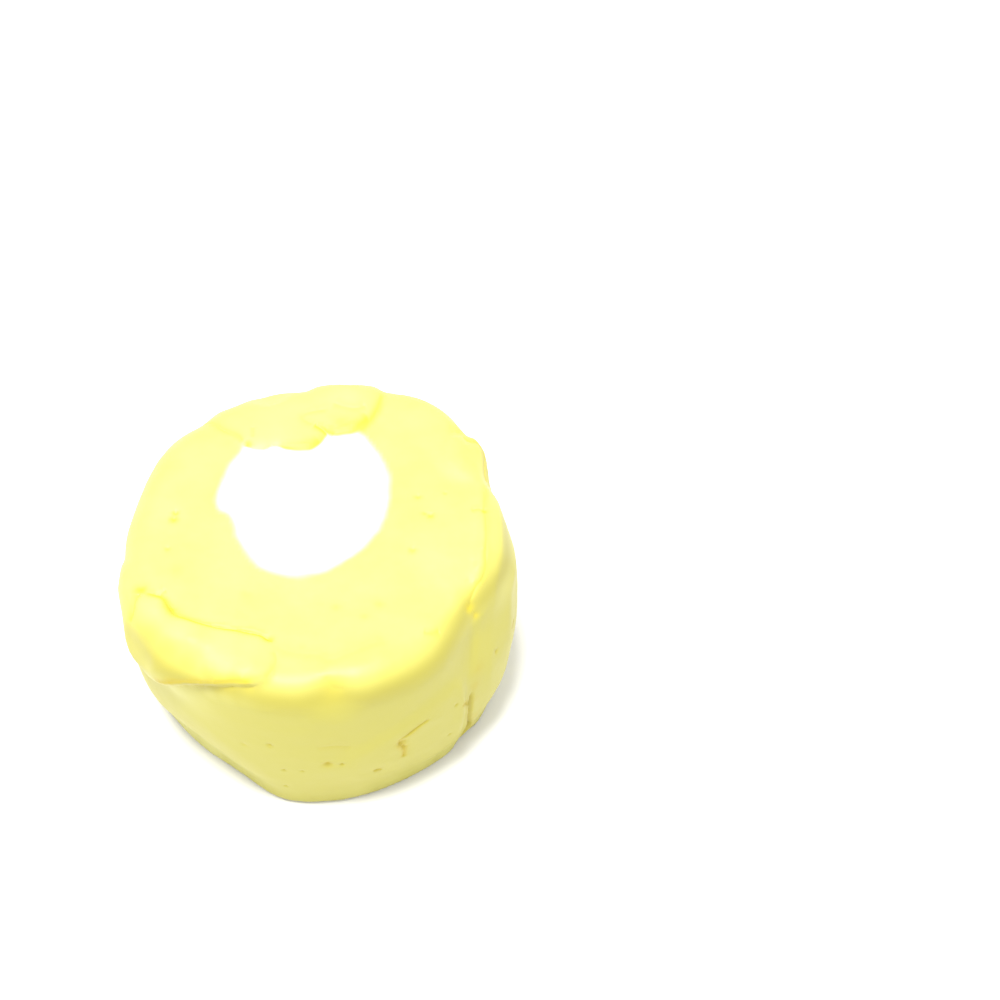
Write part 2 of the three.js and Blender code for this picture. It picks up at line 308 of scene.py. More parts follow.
def makeFold(name, fold, raised=0, grown=1):
    # a pillow drawn flat, ring by ring out from its middle and back under, then laid on the disc
    perDegree = math.radians(disc["radius"])
    corners = [(degrees * perDegree, distance, lift) for degrees, distance, lift in fold["outline"]]
    piece = lineThrough(name, corners, True, foldShape["curveSteps"])
    ring = len(piece.data.vertices)
    middle = pointsOf(piece).mean(axis=0)
    crown = (middle[0], middle[1], fold["crown"])
    floor = (middle[0], middle[1], 0)
    editAll(piece)
    last = 1.0
    for reach in foldShape["rings"]:
        if last < 1:
            bpy.ops.mesh.extrude_region_move()
        resizeRing(reach / last, (reach / last) ** foldShape["crownPower"], crown)
        last = reach
    bpy.ops.mesh.extrude_region_move()
    resizeRing(grown / last, foldShape["edgeHeight"], floor)
    bpy.ops.mesh.extrude_region_move()
    resizeRing(foldShape["undercut"] if grown == 1 else 1, 0, floor)
    bpy.ops.transform.translate(value=(0, 0, -foldShape["tuck"]))
    bpy.ops.mesh.extrude_region_move()
    resizeRing(foldShape["rootWidth"], 1, floor)
    bpy.ops.transform.translate(value=(0, 0, -foldShape["root"]))
    bpy.ops.mesh.edge_face_add()
    bpy.ops.mesh.select_all(action="DESELECT")
    bpy.ops.mesh.select_non_manifold()
    bpy.ops.mesh.edge_face_add()
    bpy.ops.mesh.select_mode(type="FACE")
    bpy.ops.mesh.select_face_by_sides(number=4, type="GREATER", extend=False)
    bpy.ops.mesh.poke()
    bpy.ops.mesh.select_all(action="SELECT")
    bpy.ops.mesh.normals_make_consistent(inside=False)
    leaveEdit()
    widest = ring * len(foldShape["rings"])
    for part, start in (("Edge", widest), ("Root", widest + ring)):
        piece.vertex_groups.new(name=name + part).add(list(range(start, start + ring)), 1.0, "REPLACE")
    for vertex in piece.data.vertices:
        across, distance, lift = vertex.co
        if lift > 0:
            lift += raised
        radius, level = surfacePoint(distance, lift)
        angle = across / disc["radius"]
        vertex.co = (radius * math.cos(angle), radius * math.sin(angle), level)
    return piece


def markedPoints(piece, name):
    group = piece.vertex_groups[name].index
    return np.array([vertex.co[:] for vertex in piece.data.vertices
                     if any(link.group == group for link in vertex.groups)])


print("blank: disc and folds")
discPiece = makeDisc()
foldPieces = [makeFold(name, fold) for name, fold in folds.items()]
flapPieces = [makeFold(name, fold) for name, fold in flap.items()]
roomPieces = [makeFold(name + "Room", fold, foldShape["roomRise"], foldShape["roomGrowth"])
              for name, fold in flap.items()]
roomPiece = joinAll(roomPieces, "flapRoom")
roomPiece.vertex_groups.new(name="room").add(list(range(len(roomPiece.data.vertices))), 1.0, "REPLACE")
blank = joinAll([discPiece] + foldPieces + flapPieces + [roomPiece], "blank")
for at, move, reach in pulls:
    grab(blank, at, move, reach)
foldEdges = {name: markedPoints(blank, name + "Edge") for name in (*folds, *flap)}
foldRoots = {name: markedPoints(blank, name + "Root") for name in (*folds, *flap)}
editAll(blank)
bpy.ops.mesh.select_all(action="DESELECT")
bpy.ops.object.vertex_group_set_active(group="room")
bpy.ops.object.vertex_group_select()
bpy.ops.mesh.separate(type="SELECTED")
leaveEdit()
flapRoom = next(each for each in bpy.context.selected_objects if each != blank)

print("fusing the blank")
fused = {"voxel": 0.25, "smoothing": 6}
applyModifier(blank, "REMESH", mode="VOXEL", voxel_size=fused["voxel"], adaptivity=0.0)
applyModifier(blank, "SMOOTH", factor=0.5, iterations=fused["smoothing"])
points = pointsOf(blank)
print("blank box", points.min(axis=0), points.max(axis=0), len(points))

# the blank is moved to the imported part's middle, and all places below are measured there
shift = np.array([cadMiddle.x - (points[:, 0].max() + points[:, 0].min()) / 2,
                  cadMiddle.y - (points[:, 1].max() + points[:, 1].min()) / 2,
                  -points[:, 2].min()])
for piece in (blank, flapRoom):
    pickOnly(piece)
    bpy.ops.transform.translate(value=shift)
    bpy.ops.object.transform_apply(location=True)
foldEdges = {name: ring + shift for name, ring in foldEdges.items()}
foldRoots = {name: ring + shift for name, ring in foldRoots.items()}

# the voxels leave the folds' undersides ragged, so the skin is relaxed where they meet the disc
relaxed = {
    "reach": 0.55,
    "iterations": 16,
    "spots": [(10.9, -5.3, 14.6, 1.3), (11.7, 6.4, 14.6, 1.2), (-5.4, -12.6, 15.1, 1)],
    "broadSpots": [(-8, -10, 16, 2.6), (-5.6, -10.6, 16, 2.2), (-10.3, -8.6, 15.6, 2)],
    "broadIterations": 50,
    "least": 0.01,  # weights below this are left out
}


def relax(piece):
    points = pointsOf(piece)
    roots = treeOf(np.concatenate(list(foldRoots.values())))
    near = np.array([roots.find(point)[2] for point in points]) < relaxed["reach"]
    for *place, reach in relaxed["spots"]:
        near |= np.linalg.norm(points - np.array(place), axis=1) < reach
    group = piece.vertex_groups.new(name="relaxed")
    group.add([int(index) for index in np.nonzero(near)[0]], 1.0, "REPLACE")
    broad = np.zeros(len(points))
    for *place, reach in relaxed["broadSpots"]:
        gap = np.linalg.norm(points - np.array(place), axis=1)
        broad = np.maximum(broad, 1 - soften(0.5 * reach, reach, gap))
    broadGroup = piece.vertex_groups.new(name="broadSpots")
    for index in np.nonzero(broad > relaxed["least"])[0]:
        broadGroup.add([int(index)], float(broad[index]), "REPLACE")
    applyModifier(piece, "SMOOTH", factor=0.5, iterations=relaxed["broadIterations"],
                  vertex_group="broadSpots")
    applyModifier(piece, "SMOOTH", factor=0.5, iterations=relaxed["iterations"], vertex_group="relaxed")


# creases: how deep and wide each is, how far one side stands over the other, how dark its painted
# shade gets, and the places it runs through, or the stretch of a fold's edge that it follows
creases = {
    "lipTop": {"depth": 0.22, "width": 0.17, "over": 0, "shadeAndSpots": 0.9, "points": [
        (-11.9, -5.1, 15.4), (-11, -5.5, 15.4), (-10.3, -5.8, 15.5), (-9.9, -6.6, 15.7),
        (-9.4, -7.3, 15.9), (-8.3, -7.7, 15.7), (-7.2, -8, 15.5), (-6, -8.2, 15.4), (-4.5, -8.4, 15.3),
        (-3.6, -8.6, 15.3), (-2.8, -9.1, 15.3), (-2.5, -9.2, 15.3)]},
    "lipLeft": {"depth": 0.15, "width": 0.15, "over": 0, "shadeAndSpots": 0.5, "points": [
        (-12, -5.3, 15.5), (-12.2, -5.9, 15.5), (-12.3, -6.8, 15.3), (-12.5, -7.4, 14.9)]},
    "lipFork": {"depth": 0.06, "width": 0.15, "over": 0, "shadeAndSpots": 0.35, "points": [
        (-10.6, -5.6, 15.5), (-10.4, -5.3, 15.5), (-10.1, -5.1, 15.5)]},
    "lipEnd": {"depth": 0.06, "width": 0.16, "over": 0, "shadeAndSpots": 0.15, "points": [
        (-3.1, -12.3, 15.5), (-2.6, -11.6, 15.4), (-2.3, -10.9, 15.4), (-2.5, -10.1, 15.4)]},
    "lipLow": {"depth": 0.1, "width": 0.2, "over": 0, "shadeAndSpots": 0.35, "along": ("lip", 40, 66, 0.6)},
    "lipShadow": {"depth": 0.03, "width": 0.09, "over": 0, "shadeAndSpots": 1, "points": [
        (-11, -10.4, 12.4), (-10.2, -10.9, 13.1), (-9.4, -11.5, 13.8), (-8.6, -11.8, 14.3),
        (-7.7, -12.1, 14.7), (-6.9, -12.3, 15), (-6, -12.4, 15.2), (-5.2, -12.5, 15.4),
        (-4.4, -12.6, 15.5), (-3.6, -12.5, 15.4)]},
    "frontCrease": {"depth": 0.06, "width": 0.5, "over": 0, "shadeAndSpots": 0.22, "points": [
        (-2.6, -9.6, 15.5), (-1, -10.2, 15.4), (0.5, -10.4, 15.5), (1.4, -10.9, 15.6),
        (2.6, -10.4, 15.7), (4.2, -9.6, 15.7), (5.6, -9.2, 15.6)]},
    "rightUpper": {"depth": 0.1, "width": 0.15, "over": 0, "shadeAndSpots": 0.4, "points": [
        (10.2, 8.6, 15.3), (10.7, 8.2, 15.2), (11.3, 8.3, 14.5), (11.6, 7.8, 14.2), (11.8, 6.4, 14.4),
        (11.8, 5.4, 14.3), (12, 5.1, 14)]},
    "rightCrease": {"depth": 0.06, "width": 0.09, "over": 0, "shadeAndSpots": 0.4, "points": [
        (12, 5.1, 14), (11.9, 3.9, 15.2), (11.8, 2.5, 15.5), (11.8, 1.6, 15.6), (11.9, 0.2, 15.7),
        (11.9, -1.9, 15.7), (11.8, -3.7, 15.3), (11.1, -4.6, 14.9), (10.8, -5.7, 14.4),
        (11, -5.8, 13.9), (11.3, -5.8, 13.5)]},
    "rightTear": {"depth": 0.05, "width": 0.09, "over": 0, "shadeAndSpots": 0.45, "points": [
        (10.8, 1.6, 15.6), (11.3, 1.7, 15.5), (11.8, 1.5, 15.7)]},
    "rightFront": {"depth": 0.06, "width": 0.14, "over": 0, "shadeAndSpots": 0.4, "points": [
        (7.6, -8.5, 15.4), (8.2, -8.5, 15.3), (8.8, -8.3, 15.2)]},
    "lapSeam": {"depth": 0.2, "width": 0.1, "over": 0.06, "shadeAndSpots": 0.5, "points": [
        (10.8, -8.3, 7.9), (10.7, -8.4, 6.1), (10.6, -8.3, 4.5), (10.6, -7.8, 2.3), (10.4, -7.7, 1.3),
        (10.1, -8, 1)]},
    "seamFoot": {"depth": 0.27, "width": 0.18, "over": 0.05, "shadeAndSpots": 0.5, "points": [
        (10.6, -7.8, 3.2), (10.4, -7.9, 1.8), (10.2, -8, 0.6), (9.9, -7.9, 0), (9.4, -7.6, 0)]},
    "seamTop": {"depth": 0.12, "width": 0.09, "over": 0, "shadeAndSpots": 0.8, "points": [
        (10.3, -9.6, 7.8), (10.5, -9.4, 7.6), (10.7, -8.4, 6)]},
    "crackUpper": {"depth": 0.1, "width": 0.05, "over": 0.02, "shadeAndSpots": 0.6, "points": [
        (8, -11.4, 9), (7.4, -11.8, 8.9), (6.8, -12.2, 8.6), (6.1, -12.5, 8.2), (5.8, -12.7, 7.9)]},
    "crackLower": {"depth": 0.14, "width": 0.1, "over": 0, "shadeAndSpots": 1, "points": [
        (5.9, -12.7, 7.7), (6.2, -12.4, 6.6), (6.1, -12.3, 5.3)]},
    "slit": {"depth": 0.1, "width": 0.1, "over": 0, "shadeAndSpots": 0.6, "points": [
        (4, -13, 4.6), (4.2, -12.9, 4.7), (4.6, -12.8, 4.6)]},
    "frontDent": {"depth": 0.06, "width": 0.35, "over": 0, "shadeAndSpots": 0.12, "points": [
        (0.2, -13.9, 9.1), (1.4, -13.8, 9.2), (2.7, -13.6, 8.8)]},
    "dimple": {"depth": 0.03, "width": 0.2, "over": 0, "shadeAndSpots": 0.15, "points": [
        (1, -12.1, 15.4), (1.6, -12.7, 15), (2.4, -12.8, 14.9)]},
    "rightSlit": {"depth": 0.1, "width": 0.1, "over": 0, "shadeAndSpots": 0.8, "points": [
        (13.8, -2.8, 8.5), (13.8, -3.3, 8.7), (13.7, -3.9, 9)]},
    "flapLeft": {"depth": 0.07, "width": 0.1, "over": 0, "shadeAndSpots": 0.32, "points": [
        (-8.6, 10, 15), (-7.7, 9.5, 15.1), (-6.7, 8.7, 15.4), (-5.7, 8, 15.6), (-5.4, 7.5, 15.7)]},
    "flapNotch": {"depth": 0.16, "width": 0.16, "over": 0, "shadeAndSpots": 0.9, "points": [
        (0.9, 7.9, 15.6), (0.7, 8.1, 15.6), (0.4, 8.4, 15.8), (0, 8.7, 15.8), (-0.4, 8.9, 15.9)]},
    "flapWrinkle": {"depth": 0.05, "width": 0.15, "over": 0, "shadeAndSpots": 0.25, "points": [
        (-0.3, 8.9, 15.9), (-0.9, 9.2, 15.9), (-1.2, 9.7, 15.9), (-0.7, 10, 15.9), (0.7, 10.1, 16)]},
    "flapBelly": {"depth": 0.04, "width": 0.22, "over": 0, "shadeAndSpots": 0.7,
        "along": ("longLobe", 22, 41, 0)},
    "bellyShade": {"depth": 0.02, "width": 0.28, "over": 0, "shadeAndSpots": 0.95, "points": [
        (-3, 6.9, 15.7), (-2.1, 6.9, 15.7), (-1.5, 6.9, 15.7), (-1, 7, 15.7), (-0.4, 7.2, 15.7),
        (0.2, 7.7, 15.7)]},
    "lobeShade": {"depth": 0.02, "width": 0.28, "over": 0, "shadeAndSpots": 0.9, "points": [
        (0.6, 8.2, 15.8), (1.4, 8.4, 15.9), (2.1, 8.6, 15.8), (2.8, 9, 15.7), (3.4, 9.8, 15.7)]},
    "lobeEdge": {"depth": 0.03, "width": 0.1, "over": 0, "shadeAndSpots": 0.6,
        "along": ("roundLobe", 0, 28, 0)},
    "lobeWrinkle": {"depth": 0.05, "width": 0.2, "over": 0, "shadeAndSpots": 0.25, "points": [
        (0.9, 10.7, 16), (1.8, 10.3, 16.1), (2.7, 10.2, 16.1), (3.3, 10.5, 16.1)]},
    "flapDash": {"depth": 0.04, "width": 0.05, "over": 0, "shadeAndSpots": 0.25, "points": [
        (-4.7, 8.7, 15.9), (-4.7, 7.8, 15.9)]},
    # the sides that the front of the slice only hints at
    "backLapEdge": {"depth": 0.2, "width": 0.15, "over": 0.06, "shadeAndSpots": 0.6, "points": [
        (-9.9, 9.3, 11.4), (-9.2, 10.2, 9), (-8.6, 10.7, 7), (-8.9, 10.6, 4.4), (-9.4, 10, 2)]},
    "backRollTop": {"depth": 0.18, "width": 0.18, "over": 0, "shadeAndSpots": 0.5, "points": [
        (9.3, 10.3, 5.6), (7.4, 11.8, 8.6), (4.6, 13.2, 9.3), (0.6, 14.1, 8.4), (-2.2, 14, 6)]},
    "backCrack": {"depth": 0.14, "width": 0.1, "over": 0.04, "shadeAndSpots": 0.6, "points": [
        (-4.6, 13.2, 12.2), (-3.4, 13.5, 11.2), (-2.9, 13.6, 10)]},
    "backRim": {"depth": 0.1, "width": 0.25, "over": 0.03, "shadeAndSpots": 0.3, "points": [
        (4.6, 12.2, 14.5), (6.2, 11.9, 13.8), (7.6, 11.2, 13.3), (8.8, 10.4, 13.4)]},
    "leftSlit": {"depth": 0.1, "width": 0.1, "over": 0, "shadeAndSpots": 0.7, "points": [
        (-14, 1.6, 6.4), (-14, 2.6, 6.7), (-13.8, 3.6, 6.5)]},
    "rightLap": {"depth": 0.15, "width": 0.15, "over": 0.05, "shadeAndSpots": 0.5, "points": [
        (12.6, 6.4, 10.5), (13, 5.6, 8), (12.8, 6, 5.6), (12.3, 6.7, 3.4)]},
    "baseFold": {"depth": 0.2, "width": 0.18, "over": 0, "shadeAndSpots": 0.6, "points": [
        (-10.6, -4.6, 0.1), (-8, -5.6, 0), (-5.6, -7.4, 0), (-3.6, -9.4, 0), (-3, -11.6, 0.3)]},
    "baseFoldFar": {"depth": 0.16, "width": 0.16, "over": 0, "shadeAndSpots": 0.5, "points": [
        (12, 3.2, 0.6), (9.6, 4.2, 0), (8.2, 6.2, 0), (7.6, 8.6, 0)]},
}

# pits: place, radius, depth and how dark each is painted: painted shade in the dents, and on the shallow
# top pits a colour spot
pits = {
    "wall": [
        (0.9, -13.7, 6.8, 0.28, 0.18, 0.8), (1.9, -13.7, 6.7, 0.16, 0.12, 0.6),
        (-3, -13.6, 9.1, 0.2, 0.12, 0.5), (-4.8, -13.1, 8.4, 0.25, 0.05, 0.2),
        (-2.2, -13.6, 5.7, 0.16, 0.1, 0.5), (-0.9, -13.7, 5.8, 0.14, 0.07, 0.4),
        (-2.2, -13.2, 3, 0.16, 0.09, 0.4), (9.3, -10.1, 4.9, 0.16, 0.08, 0.4),
        (9.8, -9.9, 8.4, 0.16, 0.09, 0.4), (12.6, -6, 9.2, 0.2, 0.1, 0.5),
        (6.05, -12.6, 7.7, 0.36, 0.2, 1), (6.2, -12.4, 6.9, 0.22, 0.08, 1)],
    "top": [
        (-9.8, 1.4, 15.6, 0.22, 0.13, 0.8), (-9.9, 0.9, 15.5, 0.28, 0.13, 0.9),
        (-10.2, -1.6, 15.5, 0.2, 0.07, 0.5), (7.1, 2.8, 15.6, 0.24, 0.1, 0.6),
        (8, 1.1, 15.7, 0.26, 0.12, 0.8), (7.6, 1.3, 15.7, 0.2, 0.06, 0.6),
        (6.8, -1.8, 15.6, 0.26, 0.08, 0.6), (9, 3.1, 15.6, 0.16, 0.06, 0.4),
        (1.6, -6.4, 15.4, 0.35, 0.02, 0.35), (4.6, -6.2, 15.5, 0.35, 0.02, 0.35),
        (3.6, -7.2, 15.5, 0.3, 0.02, 0.3), (-0.6, -9.7, 15.4, 0.4, 0.02, 0.25),
        (-9.4, -3.4, 15.5, 0.5, 0.03, 0.15), (-4.6, -5.2, 15.3, 0.4, 0.03, 0.15),
        (-0.1, 0.2, 15.6, 0.14, 0.05, 0), (-1.9, -2.7, 15.6, 0.12, 0.04, 0),
        (2.6, 4.4, 15.6, 0.2, 0.04, 0), (-3.8, 3.2, 15.6, 0.24, 0.05, 0)],
    "creaseEnds": [
        (-11.9, -5, 15.4, 0.5, 0.16, 1), (-9.7, -6.9, 15.8, 0.45, 0.16, 1), (-3, -9, 15.3, 0.4, 0.16, 1),
        (10.7, -5.8, 14.4, 0.38, 0.12, 1), (11.1, -5.9, 13.7, 0.3, 0.08, 0.7),
        (11.8, 1.5, 15.7, 0.26, 0.08, 1), (-5.1, 7.3, 15.7, 0.3, 0.12, 0.8),
        (10.1, 9.1, 15.2, 0.7, 0.02, 0.6), (1.6, 8.9, 16, 0.7, 0.02, 0.5),
        (1.6, -12.7, 15, 0.9, 0.12, 0.3)],
    # painted shade only: these marks have no dent
    "shades": [
        (11.4, -7.6, 9.4, 0.6, 0, 0.3), (11.1, -8.1, 8.1, 0.5, 0, 0.4), (11.1, -8.1, 6.4, 0.4, 0, 0.25),
        (10.9, -7.8, 4, 0.5, 0, 0.3), (10.8, -7.3, 1.9, 0.5, 0, 0.5), (0.2, 7.7, 15.7, 0.45, 0, 0.6),
        (0.9, 8.4, 15.8, 0.5, 0, 0.9)],
    "back": [
        (5, 13.2, 6.5, 0.24, 0.15, 0.6), (6.1, 12.7, 5.9, 0.15, 0.09, 0.4), (-3.4, 13.6, 7, 0.2, 0.1, 0.5),
        (-13, 3.5, 9, 0.22, 0.12, 0.5), (-13.2, 1.4, 11.4, 0.16, 0.09, 0.4),
        (-13.7, 0.4, 4.4, 0.2, 0.11, 0.5), (12.9, 5, 3, 0.2, 0.11, 0.5), (2.4, 14, 11, 0.18, 0.09, 0.4),
        (9.8, 9.6, 9.4, 0.2, 0.12, 0.5)],
    "base": [
        (-4.8, 4.6, 0, 0.25, 0.13, 0.5), (4.2, -6.3, 0, 0.32, 0.16, 0.6), (-6.8, -1.7, 0, 0.2, 0.1, 0.4),
        (7.3, -2.4, 0, 0.24, 0.12, 0.5), (1, 2, 0, 0.2, 0.07, 0.3), (-2, -8.4, 0, 0.16, 0.08, 0.4),
        (9.2, 0.5, 0, 0.14, 0.07, 0.3), (2.3, 9.8, 0, 0.24, 0.12, 0.5), (-8, 6.3, 0, 0.18, 0.09, 0.4)],
}

# how the skin is split, pushed in and smoothed along those marks
surface = {
    "lineSteps": 6,
    "refine": 0.32,  # how near a crease or pit the faces are split
    "refineFine": 0.16,  # and split once more
    "reach": 1.6,
    "vary": 0.5,  # how unevenly a crease runs
    "varySize": 1.2,
    "endShare": 0.1,  # what is left of a crease at its ends
    "endFade": 0.1,  # and over what share of its length it fades there
    "blunt": 0.04,
    "tint": (0.14, 1.3),  # reach of a crease's painted shade, and how much more for its width
    "over": (0.3, 0.7),  # where the higher side of a crease is full, and how far it reaches
    "worked": 0.01,  # pushes beyond this are smoothed again
    "smoothing": 3,
    "spine": 3.5,  # how far below the skin the outward directions start
    "skin": (0.2, 2.0),  # levels between which the waves fade in
    "waves": (("broad", 6.0, 0.16), ("middling", 2.2, 0.05), ("fine", 0.8, 0.012)),
    "baseHollow": 0.12,
    "hollow": (6, 11),  # radii between which the underside's hollow fades out
}


def lineDistance(places, line):
    # distance to a broken line, share along it, its nearest point and its heading there
    best = np.full(len(places), 1e9)
    along = np.zeros(len(places))
    nearest = np.zeros((len(places), 3))
    heading = np.zeros((len(places), 3))
    for i in range(len(line) - 1):
        start, run = line[i], line[i + 1] - line[i]
        share = np.clip(((places - start) @ run) / (run @ run), 0, 1)
        foot = start + share[:, None] * run
        gap = np.linalg.norm(places - foot, axis=1)
        closer = gap < best
        best[closer] = gap[closer]
        along[closer] = (i + share[closer]) / (len(line) - 1)
        nearest[closer] = foot[closer]
        heading[closer] = run
    return best, along, nearest, heading


def snapped(piece, places):
    tree = BVHTree.FromObject(piece, bpy.context.evaluated_depsgraph_get())
    return np.array([tree.find_nearest(Vector(place))[0][:] for place in places])


def creaseLine(piece, crease):
    if "along" in crease:
        name, first, last, under = crease["along"]
        ring = foldEdges[name] * (1 - under) + foldRoots[name] * under
        return snapped(piece, ring[first:last])
    line = lineThrough("crease", crease["points"], False, surface["lineSteps"])
    places = pointsOf(line)
    bpy.data.objects.remove(line)
    return snapped(piece, places)


def refineNear(piece, places, reach):
    # splits the faces near the given places once
    tree = treeOf(places)
    pickOnly(piece)
    for polygon in piece.data.polygons:
        polygon.select = tree.find(polygon.center)[2] < reach
    bpy.ops.object.mode_set(mode="EDIT")
    bpy.ops.mesh.select_mode(type="FACE")
    bpy.ops.mesh.subdivide(number_cuts=1, ngon=False)
    leaveEdit()


def displace(piece, name, amounts, texture):
    # paints the amounts as a weight and lets a cloud texture push the surface out and in
    biggest = float(amounts.max())
    group = piece.vertex_groups.new(name=name)
    for index in np.nonzero(amounts > 1e-4)[0]:
        group.add([int(index)], float(amounts[index] / biggest), "REPLACE")
    applyModifier(piece, "DISPLACE", vertex_group=name, mid_level=0.5, strength=biggest,
                  texture=texture, texture_coords="LOCAL")
    piece.vertex_groups.remove(piece.vertex_groups[name])


def outwardAt(places):
    # the way out of the slice, free of the small bumps of its skin
    spine = surface["spine"]
    inner = places.copy()
    across = np.linalg.norm(places[:, :2], axis=1, keepdims=True)
    inner[:, :2] *= np.minimum(1, (disc["radius"] - spine) / np.maximum(across, 1e-6))
    inner[:, 2] = np.clip(places[:, 2], spine, disc["height"] - spine)
    out = places - inner
    return out / np.linalg.norm(out, axis=1, keepdims=True)


def setPoints(piece, places):
    piece.data.vertices.foreach_set("co", places.ravel())
    piece.data.update()


print("waves over the skin")
relax(blank)
points = pointsOf(blank)
skin = soften(*surface["skin"], points[:, 2])
for name, size, strength in surface["waves"]:
    clouds = bpy.data.textures.new(name, "CLOUDS")
    clouds.noise_scale = size
    displace(blank, name, skin * strength, clouds)

print("creases and pits")
lines = [creaseLine(blank, crease) for crease in creases.values()]
pitList = [pit for group in pits.values() for pit in group]
pitPlaces = snapped(blank, [pit[:3] for pit in pitList])
marks = np.concatenate(lines + [pitPlaces])
refineNear(blank, marks, surface["refine"])
refineNear(blank, marks, surface["refineFine"])
points = pointsOf(blank)
outward = outwardAt(points)
push = np.zeros(len(points))
shadeAndSpots = np.zeros(len(points))
endShare, endFade = surface["endShare"], surface["endFade"]
fullAt, overReach = surface["over"]
tintReach, tintWiden = surface["tint"]
for crease, line in zip(creases.values(), lines):
    reach = surface["reach"]
    box = ((points > line.min(axis=0) - reach) & (points < line.max(axis=0) + reach)).all(axis=1)
    near = np.nonzero(box)[0]
    gap, along, foot, heading = lineDistance(points[near], line)
    ends = endShare + (1 - endShare) * soften(0, endFade, along) * soften(0, endFade, 1 - along)
    fade = 1 - soften(0.5 * reach, reach, gap)
    vary = np.array([1 + surface["vary"] * noise.noise(Vector(place) / surface["varySize"])
                     for place in foot])
    rounded = np.sqrt(gap ** 2 + surface["blunt"] ** 2) - surface["blunt"]
    push[near] -= crease["depth"] * vary * ends * np.exp(-rounded / crease["width"]) * fade
    # each crease is painted darker along its line, as painted shade
    tinted = tintReach + tintWiden * crease["width"]
    dark = crease["shadeAndSpots"] * ends * np.exp(-(gap / tinted / vary) ** 2)
    shadeAndSpots[near] = np.maximum(shadeAndSpots[near], dark)
    if crease["over"]:
        side = (np.cross(outward[near], heading) * (points[near] - foot)).sum(axis=1) > 0
        raised = crease["over"] * ends * fade * side
        push[near] += raised * np.exp(-(gap / overReach) ** 2) * soften(0, fullAt, gap)
# each pit is dented and painted darker: painted shade, and on the shallow top pits a colour spot
for place, (x, y, z, radius, depth, tint) in zip(pitPlaces, pitList):
    gap = np.linalg.norm(points - place, axis=1)
    push -= depth * np.exp(-(gap / radius) ** 2)
    shadeAndSpots = np.maximum(shadeAndSpots, tint * np.exp(-(gap / radius) ** 2))
points += outward * push[:, None]
across = np.linalg.norm(points[:, :2], axis=1)
points[:, 2] += surface["baseHollow"] * (1 - soften(*surface["hollow"], across)) * (points[:, 2] < 1)
points[:, 2] = np.maximum(points[:, 2], 0)
setPoints(blank, points)
worked = blank.vertex_groups.new(name="worked")
worked.add([int(index) for index in np.nonzero(np.abs(push) > surface["worked"])[0]], 1.0, "REPLACE")
applyModifier(blank, "SMOOTH", factor=0.5, iterations=surface["smoothing"], vertex_group="worked")
# the points that carry the painted shade of creases and pits, and the few colour spots
shadeAndSpotsTree = treeOf(pointsOf(blank))
print("blank", len(blank.data.polygons), "faces")

print("cutting out the filling")
core = {
    "centre": (-0.9, 2.4),
    "lean": (0.9, -1.3),
    "outline": [(0, 5.8), (35, 6.6), (70, 7.4), (105, 7.4), (140, 6.3), (168, 6.1), (184, 6.1),
                (192, 5.1), (225, 5.5), (260, 6.3), (300, 6.1), (335, 5.7)],
    "shown": [(0, 6), (35, 6.7), (70, 7.4), (105, 7.4), (140, 6.1), (168, 5.7), (184, 5.6),
              (192, 4.9), (225, 5.3), (260, 5.9), (300, 5.8), (335, 5.8)],
    "curveSteps": 8,
    "cutFrom": -0.1,  # shares of the disc's height that the cut runs between
    "cutTo": 1.25,
}


def coreLine(shareUp, outline="outline"):
    # the filling's outline at a share of the disc's height, in the frame
    lean = [core["lean"][k] * (1 - shareUp) for k in (0, 1)]
    return [(core["centre"][0] + lean[0] + reach * math.cos(math.radians(angle)) + shift[0],
             core["centre"][1] + lean[1] + reach * math.sin(math.radians(angle)) + shift[1],
             disc["height"] * shareUp) for angle, reach in core[outline]]


cutter = lineThrough("cutter", coreLine(core["cutFrom"]), True, core["curveSteps"])
rise = np.array(coreLine(core["cutTo"]))[0] - np.array(coreLine(core["cutFrom"]))[0]
editAll(cutter)
bpy.ops.mesh.edge_face_add()
bpy.ops.mesh.extrude_region_move(TRANSFORM_OT_translate={"value": rise})
bpy.ops.mesh.select_all(action="SELECT")
bpy.ops.mesh.normals_make_consistent(inside=False)
leaveEdit()
applyModifier(cutter, "BOOLEAN", operation="DIFFERENCE", object=flapRoom, solver="EXACT", use_self=True)
filling = copyOf(blank, "taffyFilling")
body = blank
body.name = "taffyBody"
applyModifier(filling, "BOOLEAN", operation="INTERSECT", object=cutter, solver="EXACT")
applyModifier(body, "BOOLEAN", operation="DIFFERENCE", object=cutter, solver="EXACT")
for piece in (cutter, flapRoom):
    bpy.data.objects.remove(piece)


# how white each point is: the filling's outline and the flap's footprint decide it
def signedDistance(places, outline):
    # distance to a closed outline seen from above, negative inside it
    gap = np.full(len(places), 1e9)
    inside = np.zeros(len(places), bool)
    for i in range(len(outline)):
        start, end = outline[i - 1], outline[i]
        run = end - start
        share = np.clip(((places - start) @ run) / max(run @ run, 1e-12), 0, 1)
        gap = np.minimum(gap, np.linalg.norm(places - start - share[:, None] * run, axis=1))
        crossing = (start[1] > places[:, 1]) != (end[1] > places[:, 1])
        across = start[0] + (places[:, 1] - start[1]) / (run[1] or 1e-12) * run[0]
        inside ^= crossing & (places[:, 0] < across)
    return np.where(inside, -gap, gap)


blend = {
    "softness": 0.42,
    "waver": 0.16,
    "waverSize": 1.6,
    "waverReach": 1.5,  # how near the filling's outline the waver is worked out
    "fineShare": 0.5,  # a finer waver on top, and how many times finer
    "fineTimes": 2.5,
    "flapSoftness": 0.12,
    "flapShrink": 0.02,
    "flapDepth": 2,  # how far down the flap hides the white
    "rimDown": 1.1,  # the band of painted shade round the front of the rim
    "rimWidth": 0.95,
    "rimRadii": (11, 12),
    "rimFront": (0, 8),
    "rimLean": 0.4,
    "faceTurn": (0.35, 0.85),  # how far a point faces up before it gets the lighter top colour, as painted light
}
